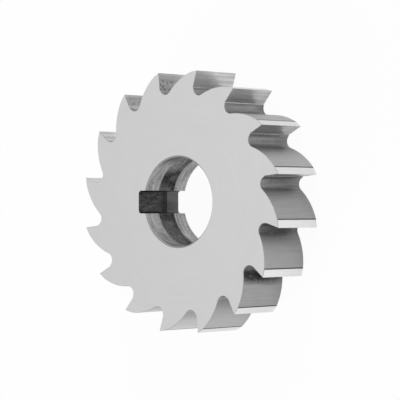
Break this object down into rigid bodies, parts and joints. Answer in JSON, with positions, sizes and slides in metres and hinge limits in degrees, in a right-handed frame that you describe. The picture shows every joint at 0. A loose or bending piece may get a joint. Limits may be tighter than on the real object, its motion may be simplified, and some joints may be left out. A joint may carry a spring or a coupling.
{
  "type": "plain milling cutter",
  "caption": "Disc-shaped plain milling cutter with straight ground teeth around its rim, a keyed bore for a milling arbor and flat side faces.",
  "frame": {"origin": "centre of the bore on the lower side face, which the cutter lies on", "axes": "+Z along the bore to the upper side face, the one that the picture shows; -X through the middle of the keyway; seen from +Z the teeth lead clockwise"},
  "size_m": [0.0784, 0.0784, 0.018],
  "materials": {
    "tool_steel": "bare hardened steel, ground on the side faces, cutting faces, lands and bore, and left milled or turned elsewhere"
  },
  "bodies": {
    "root": {"milling_cutter": "tool_steel"}
  },
  "joints": []
}
